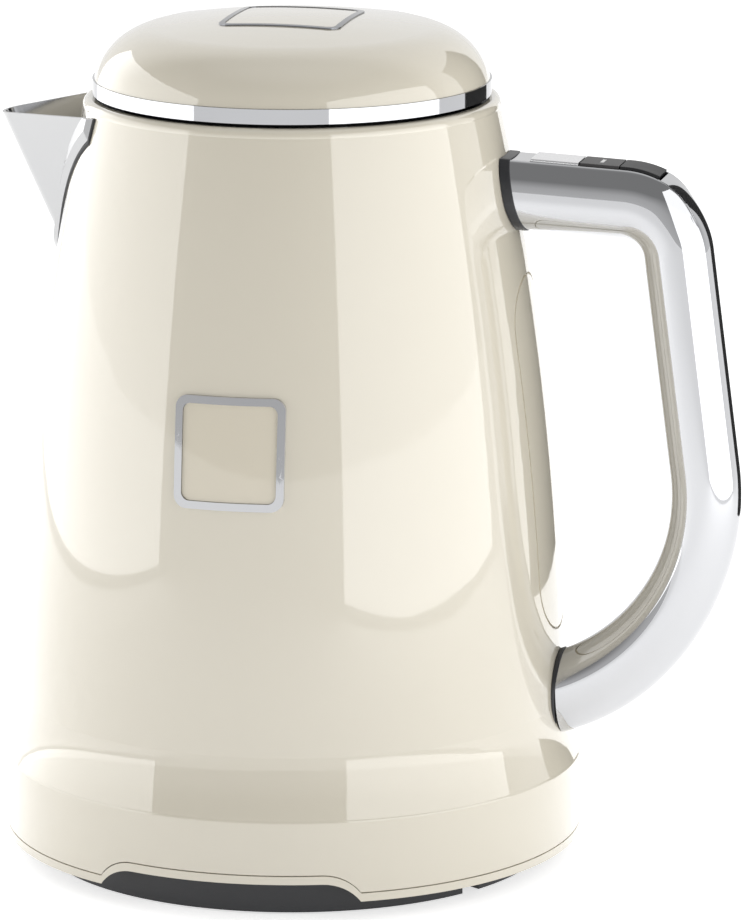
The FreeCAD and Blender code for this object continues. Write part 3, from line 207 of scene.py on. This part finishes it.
MM = 0.001
WALL_FOOT = (80.6, 48.0)
WALL_TOP = (60.7, 222.7)
WALL_BULGE = 4.35
TUBE_R = 10.3
ARM_MARK = Vector((88.803, 0.0, 198.0))
ARM_FALL = math.radians(2.7)
BEND_R = 16.0
GRIP_LEAN = math.radians(7.5)
ARC_CENTRE = Vector((60.5, 0.0, 112.0))
ARC_R = 62.6
FLAT_V = 10.7
FLAT_HALF = 7.25
FLANK_V = 6.9
EDGE_R = 0.35
SLOT_HALF = 6.25
SLOT_DEPTH = 3.6
SLOT_START_X = 71.15
SLOT_END_DEG = 23.1
ROUND_DEG = 64.0
SLOT_ARM_STEPS = 8
SLOT_BEND_STEPS = 12
SLOT_RINGS = 2 + SLOT_ARM_STEPS + SLOT_BEND_STEPS
SLOT_FLOOR_STEPS = 8
SLOT_LIP_WIDE = 0.12
SLOT_LIP_NARROW = 0.02
SLOT_LIP_DROP = 0.08
SECTION_STEPS = 24
ROUND_STEPS = 24
GRIP_STEPS = 8
ARC_STEPS = 48
ARM_INSIDE_S = -70.0
ARC_SEARCH = (0.6, 2.2)
TUBE_START_GAP = 1.5
TUBE_END_GAP = 1.2
FLARE = 0.30
FLARE_START = 0.3
SEARCH_STEPS = 40
WELD_M = 1e-7
SHARP_DEG = 35.0
ACROSS = Vector((0.0, 1.0, 0.0))


def wall_arc():
    """Centre and radius of the jug's side wall in its half section."""
    dx, dz = WALL_TOP[0] - WALL_FOOT[0], WALL_TOP[1] - WALL_FOOT[1]
    length = math.hypot(dx, dz)
    radius = ((length / 2) ** 2 + WALL_BULGE ** 2) / (2 * WALL_BULGE)
    bow = WALL_BULGE - radius
    x = (WALL_FOOT[0] + WALL_TOP[0]) / 2 + bow * dz / length
    z = (WALL_FOOT[1] + WALL_TOP[1]) / 2 - bow * dx / length
    return x, z, radius


WALL_X, WALL_Z, WALL_R = wall_arc()


def wall_r(z):
    """Outside radius of the jug at a height on its side wall."""
    z = max(WALL_FOOT[1], min(WALL_TOP[1], z))
    return WALL_X + math.sqrt(WALL_R ** 2 - (z - WALL_Z) ** 2)


def smooth(t):
    t = max(0.0, min(1.0, t))
    return t * t * (3 - 2 * t)


ALONG = Vector((math.cos(ARM_FALL), 0.0, -math.sin(ARM_FALL)))
OUTWARD = Vector((math.sin(ARM_FALL), 0.0, math.cos(ARM_FALL)))
GRIP_DOWN = Vector((math.sin(GRIP_LEAN), 0.0, -math.cos(GRIP_LEAN)))
GRIP_OUT = Vector((math.cos(GRIP_LEAN), 0.0, math.sin(GRIP_LEAN)))
GRIP_LOW = ARC_CENTRE + GRIP_OUT * ARC_R
BEND_TURN = math.pi / 2 - GRIP_LEAN - ARM_FALL


def bend_start():
    """Distance along the arm, from its marked point, where the bend begins."""
    gap = GRIP_LOW - ARM_MARK
    cross = ALONG.x * GRIP_DOWN.z - ALONG.z * GRIP_DOWN.x
    meet = (gap.x * GRIP_DOWN.z - gap.z * GRIP_DOWN.x) / cross
    return meet - BEND_R * math.tan(BEND_TURN / 2)


BEND_S = bend_start()
BEND_CENTRE = ARM_MARK + ALONG * BEND_S - OUTWARD * BEND_R
GRIP_TOP = BEND_CENTRE + GRIP_OUT * BEND_R
GRIP_L = (GRIP_LOW - GRIP_TOP).length


def turned_out(angle):
    """Outward direction after a turn from the arm's, down towards the grip."""
    return OUTWARD * math.cos(angle) + ALONG * math.sin(angle)


def arm_place(s, y, v):
    return ARM_MARK + ALONG * s + ACROSS * y + OUTWARD * v


def bend_place(angle, y, v):
    return BEND_CENTRE + turned_out(angle) * (BEND_R + v) + ACROSS * y


def grip_place(s, y, v):
    return GRIP_TOP + GRIP_DOWN * s + GRIP_OUT * v + ACROSS * y


def arc_place(angle, y, v):
    out = GRIP_OUT * math.cos(angle) + GRIP_DOWN * math.sin(angle)
    return ARC_CENTRE + out * (ARC_R + v) + ACROSS * y


def off_wall(p):
    """How far a point stands outside the jug's wall."""
    return math.hypot(p.x, p.y) - wall_r(p.z)


def meets_wall(place, low, high, y, v, gap):
    """Route value, from low outside to high inside, where a line of the tube stands a gap off the wall."""
    for _ in range(SEARCH_STEPS):
        middle = (low + high) / 2
        if off_wall(place(middle, y, v)) > gap:
            low = middle
        else:
            high = middle
    return low


def strip_half():
    """Half section of the arm from its underside to the edge of the slot, as (y, v) points."""
    points = []
    for i in range(SECTION_STEPS + 1):
        a = math.pi / 2 * (i / SECTION_STEPS - 1)
        points.append((TUBE_R * math.cos(a), TUBE_R * math.sin(a)))
    for i in range(1, SECTION_STEPS + 1):
        t = i / SECTION_STEPS
        y = TUBE_R * (1 - t * t) + FLAT_HALF * t * t
        v = FLANK_V * 2 * t * (1 - t) + FLAT_V * t * t
        points.append((y, v))
    points[-1] = (FLAT_HALF + EDGE_R * 0.6, FLAT_V - EDGE_R)
    points.append((FLAT_HALF + EDGE_R * 0.1, FLAT_V - EDGE_R * 0.3))
    points.append((FLAT_HALF - EDGE_R * 0.7, FLAT_V))
    points.append((SLOT_HALF + SLOT_LIP_WIDE, FLAT_V))
    points.append((SLOT_HALF + SLOT_LIP_NARROW, FLAT_V - SLOT_LIP_DROP))
    return points


HALF = strip_half()


def towards_circle(y, v, rounded):
    """Point of the section moved part or all of the way to the tube's circle."""
    a = math.atan2(v, y)
    return y + (TUBE_R * math.cos(a) - y) * rounded, v + (TUBE_R * math.sin(a) - v) * rounded


def section(rounded, slot):
    """Closed section, from the arm's flat-topped one to a circle, with the slot cut or not."""
    half = [towards_circle(y, v, rounded) for y, v in HALF]
    floor_v = FLAT_V - SLOT_DEPTH
    for i in range(SLOT_FLOOR_STEPS + 1):
        y = SLOT_HALF * (1 - i / SLOT_FLOOR_STEPS)
        half.append((y, floor_v) if slot else towards_circle(y, FLAT_V, rounded))
    return half + [(-y, v) for y, v in reversed(half[1:-1])]


def loft(name, rings, material, body, inside=None, inner=None):
    """Tube through rings of equal length, with another finish on the faces inside a slot."""
    count = len(rings[0])
    mesh = bpy.data.meshes.new(name)
    verts = [p * MM for points in rings for p in points]
    faces = []
    for i in range(len(rings) - 1):
        for j in range(count):
            k = (j + 1) % count
            faces.append((i * count + j, i * count + k, (i + 1) * count + k, (i + 1) * count + j))
    mesh.from_pydata(verts, [], faces)
    mesh.materials.append(material)
    if inner:
        mesh.materials.append(inner)
        for n, polygon in enumerate(mesh.polygons):
            polygon.material_index = int(inside(*divmod(n, count)))
    piece = bpy.data.objects.new(name, mesh)
    scene.collection.objects.link(piece)
    shell = bmesh.new()
    shell.from_mesh(mesh)
    bmesh.ops.remove_doubles(shell, verts=shell.verts, dist=WELD_M)
    bmesh.ops.recalc_face_normals(shell, faces=shell.faces)
    shell.to_mesh(mesh)
    shell.free()
    mesh.shade_smooth()
    mesh.set_sharp_from_angle(angle=math.radians(SHARP_DEG))
    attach(piece, body)
    return piece


def flared(v, share):
    """The tube deepens towards its lower end, on its outer side only."""
    grown = smooth((share - FLARE_START) / (1 - FLARE_START))
    return v * (1 + FLARE * grown) if v > 0 else v


def handle_rings():
    """Rings of the tube from the upper wall, round the bend and down the grip to the lower wall."""
    slot_s = (SLOT_START_X - ARM_MARK.x) / math.cos(ARM_FALL)
    plain, cut, circle = section(0, False), section(0, True), section(1, False)
    start = [meets_wall(arm_place, BEND_S, ARM_INSIDE_S, y, v, TUBE_START_GAP) for y, v in plain]
    rings = [[arm_place(s, y, v) for s, (y, v) in zip(start, plain)]]
    rings.append([arm_place(slot_s, y, v) for y, v in plain])
    for i in range(SLOT_ARM_STEPS + 1):
        s = slot_s + (BEND_S - slot_s) * i / SLOT_ARM_STEPS
        rings.append([arm_place(s, y, v) for y, v in cut])
    slot_end = math.radians(SLOT_END_DEG)
    for i in range(1, SLOT_BEND_STEPS + 1):
        rings.append([bend_place(slot_end * i / SLOT_BEND_STEPS, y, v) for y, v in cut])
    round_end = math.radians(ROUND_DEG)
    for i in range(ROUND_STEPS + 1):
        angle = slot_end + (BEND_TURN - slot_end) * i / ROUND_STEPS
        blend = smooth((angle - slot_end) / (round_end - slot_end))
        rings.append([bend_place(angle, y, v) for y, v in section(blend, False)])
    for i in range(1, GRIP_STEPS + 1):
        rings.append([grip_place(GRIP_L * i / GRIP_STEPS, y, v) for y, v in circle])
    ends = [meets_wall(arc_place, *ARC_SEARCH, y, flared(v, 1.0), TUBE_END_GAP) for y, v in circle]
    for i in range(1, ARC_STEPS + 1):
        share = i / ARC_STEPS
        rings.append([arc_place(end * share, y, flared(v, share)) for end, (y, v) in zip(ends, circle)])
    return rings


def in_slot(ring, point):
    """Whether a face of the tube lies in the slot under the buttons."""
    return 1 <= ring <= SLOT_RINGS and len(HALF) - 1 <= point < len(section(0, True)) - len(HALF) + 1


tube = loft("handle_tube_fine", handle_rings(), CHROME, "jug", in_slot, BLACK)
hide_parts("handle_tube")


# Share of the collar's thickness and of its overhang, from its root to its inner edge
COLLAR_STEPS = ((0.0, 1.0), (0.8, 1.0), (0.97, 0.75), (1.0, 0.35), (1.0, -1.6))
COLLAR_ROOT = 0.15
COLLAR_PROUD = 0.35
UPPER_COLLAR_T = 3.1
LOWER_COLLAR_T = 1.5
LOWER_COLLAR_THINNING = 1.0
LOWER_THIN_FROM = -10.0
LOWER_THIN_SPAN = 22.0


def collar_rings(place, search, profile, gaps):
    """Saddle between the jug's wall and the tube's end: out over the edge and back to the wall."""
    rings = []
    for gap_share, grow in COLLAR_STEPS:
        points = []
        for y, v in profile:
            length = math.hypot(y, v)
            k = (length + COLLAR_PROUD * grow) / length
            gap = COLLAR_ROOT + (gaps(v) - COLLAR_ROOT) * gap_share
            points.append(place(meets_wall(place, *search, y * k, v * k, gap), y * k, v * k))
        rings.append(points)
    return rings


def upper_gap(_):
    return UPPER_COLLAR_T


def lower_gap(v):
    """The lower collar thins towards the outer side of the tube."""
    return LOWER_COLLAR_T - LOWER_COLLAR_THINNING * smooth((v - LOWER_THIN_FROM) / LOWER_THIN_SPAN)


upper_rings = collar_rings(arm_place, (BEND_S, ARM_INSIDE_S), section(0, False), upper_gap)
upper = loft("upper_collar_fine", upper_rings, BLACK, "jug")
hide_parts("upper_collar")
low_profile = [(y, flared(v, 1.0)) for y, v in section(1, False)]
lower_rings = collar_rings(arc_place, ARC_SEARCH, low_profile, lower_gap)
lower = loft("lower_collar_fine", lower_rings, BLACK, "jug")
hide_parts("lower_collar")


# Bar mark on the power button

MARK_LENGTH = 1.0
MARK_HALF = 2.4
MARK_RISE = 0.06
MARK_V = 11.5


def bar_mark(node, material):
    """Thin bar across the middle of a button's top."""
    points = [Vector(corner) / MM for corner in nodes[node].bound_box]
    middle = sum(points, Vector()) / len(points)
    s = (middle - ARM_MARK).dot(ALONG)
    mesh = bpy.data.meshes.new(node + "_mark")
    near, far = s - MARK_LENGTH / 2, s + MARK_LENGTH / 2
    corners = [(near, -MARK_HALF), (far, -MARK_HALF), (far, MARK_HALF), (near, MARK_HALF)]
    levels = (MARK_V - MARK_RISE, MARK_V + MARK_RISE)
    verts = [arm_place(a, y, v) * MM for v in levels for a, y in corners]
    faces = [(3, 2, 1, 0), (4, 5, 6, 7), (0, 1, 5, 4), (1, 2, 6, 5), (2, 3, 7, 6), (3, 0, 4, 7)]
    mesh.from_pydata(verts, [], faces)
    mesh.materials.append(material)
    piece = bpy.data.objects.new(node + "_mark", mesh)
    scene.collection.objects.link(piece)
    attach(piece, node)


WHITE = plastic("white_mark", (0.80, 0.80, 0.80), (0.84, 0.84, 0.84), 0.30, 0.40, 900.0, 0.02)
bar_mark("power_button", WHITE)


# Floor and studio

FLOOR_HALF = 6.0
FLOOR_GLOW = 0.66
FLOOR_PATCHES = 3.0
FLOOR_DARK = (0.86, 0.86, 0.86)
FLOOR_LIGHT = (0.88, 0.88, 0.88)


def flat_card(name, corners, material):
    mesh = bpy.data.meshes.new(name)
    mesh.from_pydata(corners, [], [tuple(range(len(corners)))])
    card = bpy.data.objects.new(name, mesh)
    scene.collection.objects.link(card)
    card.data.materials.append(material)
    return card


def background_ray(tree):
    """One for a ray from the camera, gloss or glass, to which the floor shows white, and nought for light."""
    light_path = tree.nodes.new("ShaderNodeLightPath")
    seen = light_path.outputs["Is Camera Ray"]
    for kind in ("Is Glossy Ray", "Is Transmission Ray"):
        either = tree.nodes.new("ShaderNodeMath")
        either.operation = "MAXIMUM"
        tree.links.new(seen, either.inputs[0])
        tree.links.new(light_path.outputs[kind], either.inputs[1])
        seen = either.outputs["Value"]
    return seen


def floor_material():
    """Pale floor that keeps the shadow and shows white to the camera and in reflections."""
    material, tree, shader = new_material("floor")
    colour = mottle(tree, noise(tree, FLOOR_PATCHES), FLOOR_DARK, FLOOR_LIGHT)
    tree.links.new(colour, shader.inputs["Base Color"])
    shader.inputs["Roughness"].default_value = MATT_ROUGH
    glow = tree.nodes.new("ShaderNodeEmission")
    seen = ramp(tree, background_ray(tree), 0.0, FLOOR_GLOW)
    tree.links.new(seen, glow.inputs["Strength"])
    both = tree.nodes.new("ShaderNodeAddShader")
    tree.links.new(shader.outputs["BSDF"], both.inputs[0])
    tree.links.new(glow.outputs["Emission"], both.inputs[1])
    tree.links.new(both.outputs["Shader"], tree.nodes["Material Output"].inputs["Surface"])
    return material


floor_corners = [(-FLOOR_HALF, -FLOOR_HALF, 0), (FLOOR_HALF, -FLOOR_HALF, 0), (FLOOR_HALF, FLOOR_HALF, 0),
                 (-FLOOR_HALF, FLOOR_HALF, 0)]
flat_card("floor", floor_corners, floor_material())


# Heights in the room, from below at 0 to above at 1, with their tones
ROOM_STOPS = ((0.25, 0.64), (0.46, 0.60), (0.56, 0.50), (0.66, 0.24), (0.92, 0.24), (1.0, 0.60))
ROOM_LEVEL = 1.2
ROOM_BEHIND = 0.72
BEHIND_FROM = 0.1
BEHIND_TO = 0.6


def world_light():
    """Plain room, pale low down and behind, and darker above the front."""
    world = bpy.data.worlds.new("studio")
    scene.world = world
    world.use_nodes = True
    tree = world.node_tree
    place = tree.nodes.new("ShaderNodeTexCoord")
    split = tree.nodes.new("ShaderNodeSeparateXYZ")
    tree.links.new(place.outputs["Generated"], split.inputs["Vector"])
    height = tree.nodes.new("ShaderNodeMapRange")
    height.inputs["From Min"].default_value = -1.0
    tree.links.new(split.outputs["Z"], height.inputs["Value"])
    tones = tree.nodes.new("ShaderNodeValToRGB")
    stops = tones.color_ramp.elements
    while len(stops) < len(ROOM_STOPS):
        stops.new(1.0)
    for stop, (where, tone) in zip(stops, ROOM_STOPS):
        stop.position = where
        stop.color = (tone, tone, tone, 1.0)
    tree.links.new(height.outputs["Result"], tones.inputs["Fac"])
    depth = tree.nodes.new("ShaderNodeMapRange")
    depth.interpolation_type = "SMOOTHSTEP"
    depth.inputs["From Min"].default_value = BEHIND_FROM
    depth.inputs["From Max"].default_value = BEHIND_TO
    tree.links.new(split.outputs["Y"], depth.inputs["Value"])
    tone = tree.nodes.new("ShaderNodeMix")
    tone.data_type = "RGBA"
    tone.inputs["B"].default_value = (ROOM_BEHIND, ROOM_BEHIND, ROOM_BEHIND, 1.0)
    tree.links.new(depth.outputs["Result"], tone.inputs["Factor"])
    tree.links.new(tones.outputs["Color"], tone.inputs["A"])
    room = tree.nodes["Background"]
    room.inputs["Strength"].default_value = ROOM_LEVEL
    tree.links.new(tone.outputs["Result"], room.inputs["Color"])


world_light()


def softbox(name, place, aim, width, tall, radiance):
    """Soft light of even brightness that faces a point."""
    light = bpy.data.lights.new(name, "AREA")
    light.shape = "RECTANGLE"
    light.size = width
    light.size_y = tall
    light.energy = radiance * math.pi * width * tall
    lamp = bpy.data.objects.new(name, light)
    scene.collection.objects.link(lamp)
    lamp.location = place
    lamp.rotation_euler = (Vector(aim) - Vector(place)).to_track_quat("-Z", "Y").to_euler()
    lamp.visible_camera = False
    return lamp


def around(azimuth, distance, height):
    """Point at an azimuth round the jug, 0 in front and 90 at the handle."""
    a = math.radians(azimuth)
    return (distance * math.sin(a), -distance * math.cos(a), height)


BOX_LEVEL = 1.45
BOX_LOW = 0.01
BOX_HIGH = 0.62
BOX_TALL = BOX_HIGH - BOX_LOW
BOX_MID = (BOX_HIGH + BOX_LOW) / 2
BOX_AIM = (0, 0, BOX_MID)
BOX_AWAY = 0.6
LEFT_AZIMUTH = -89.0
LEFT_WIDE = 1.265
RIGHT_AZIMUTH = 69.0
RIGHT_WIDE = 0.84
TOP_PLACE = (-0.1, 0.9, 1.0)
TOP_AIM = (0, 0, 0.2)
TOP_WIDE = 0.9
TOP_TALL = 0.7
TOP_LEVEL = 1.5

softbox("left_box", around(LEFT_AZIMUTH, BOX_AWAY, BOX_MID), BOX_AIM, LEFT_WIDE, BOX_TALL, BOX_LEVEL)
softbox("right_box", around(RIGHT_AZIMUTH, BOX_AWAY, BOX_MID), BOX_AIM, RIGHT_WIDE, BOX_TALL, BOX_LEVEL)
top_box = softbox("top_box", TOP_PLACE, TOP_AIM, TOP_WIDE, TOP_TALL, TOP_LEVEL)
top_box.visible_glossy = False


CARD_AZIMUTH = 142.0
CARD_AWAY = 0.45
CARD_HALF = 0.13
CARD_TALL = 0.5
CARD_TONE = 0.03


def dark_card(name):
    """Plain dark card that stands behind the handle and shows in gloss, where it edges bright metal."""
    material, _, shader = new_material(name)
    shader.inputs["Base Color"].default_value = (CARD_TONE, CARD_TONE, CARD_TONE, 1.0)
    shader.inputs["Roughness"].default_value = MATT_ROUGH
    middle = Vector(around(CARD_AZIMUTH, CARD_AWAY, 0.0))
    side = Vector((-middle.y, middle.x, 0.0)).normalized() * CARD_HALF
    up = Vector((0.0, 0.0, CARD_TALL))
    card = flat_card(name, [middle - side, middle + side, middle + side + up, middle - side + up], material)
    card.visible_camera = False
    card.visible_diffuse = False
    card.visible_shadow = False


dark_card("dark_card")
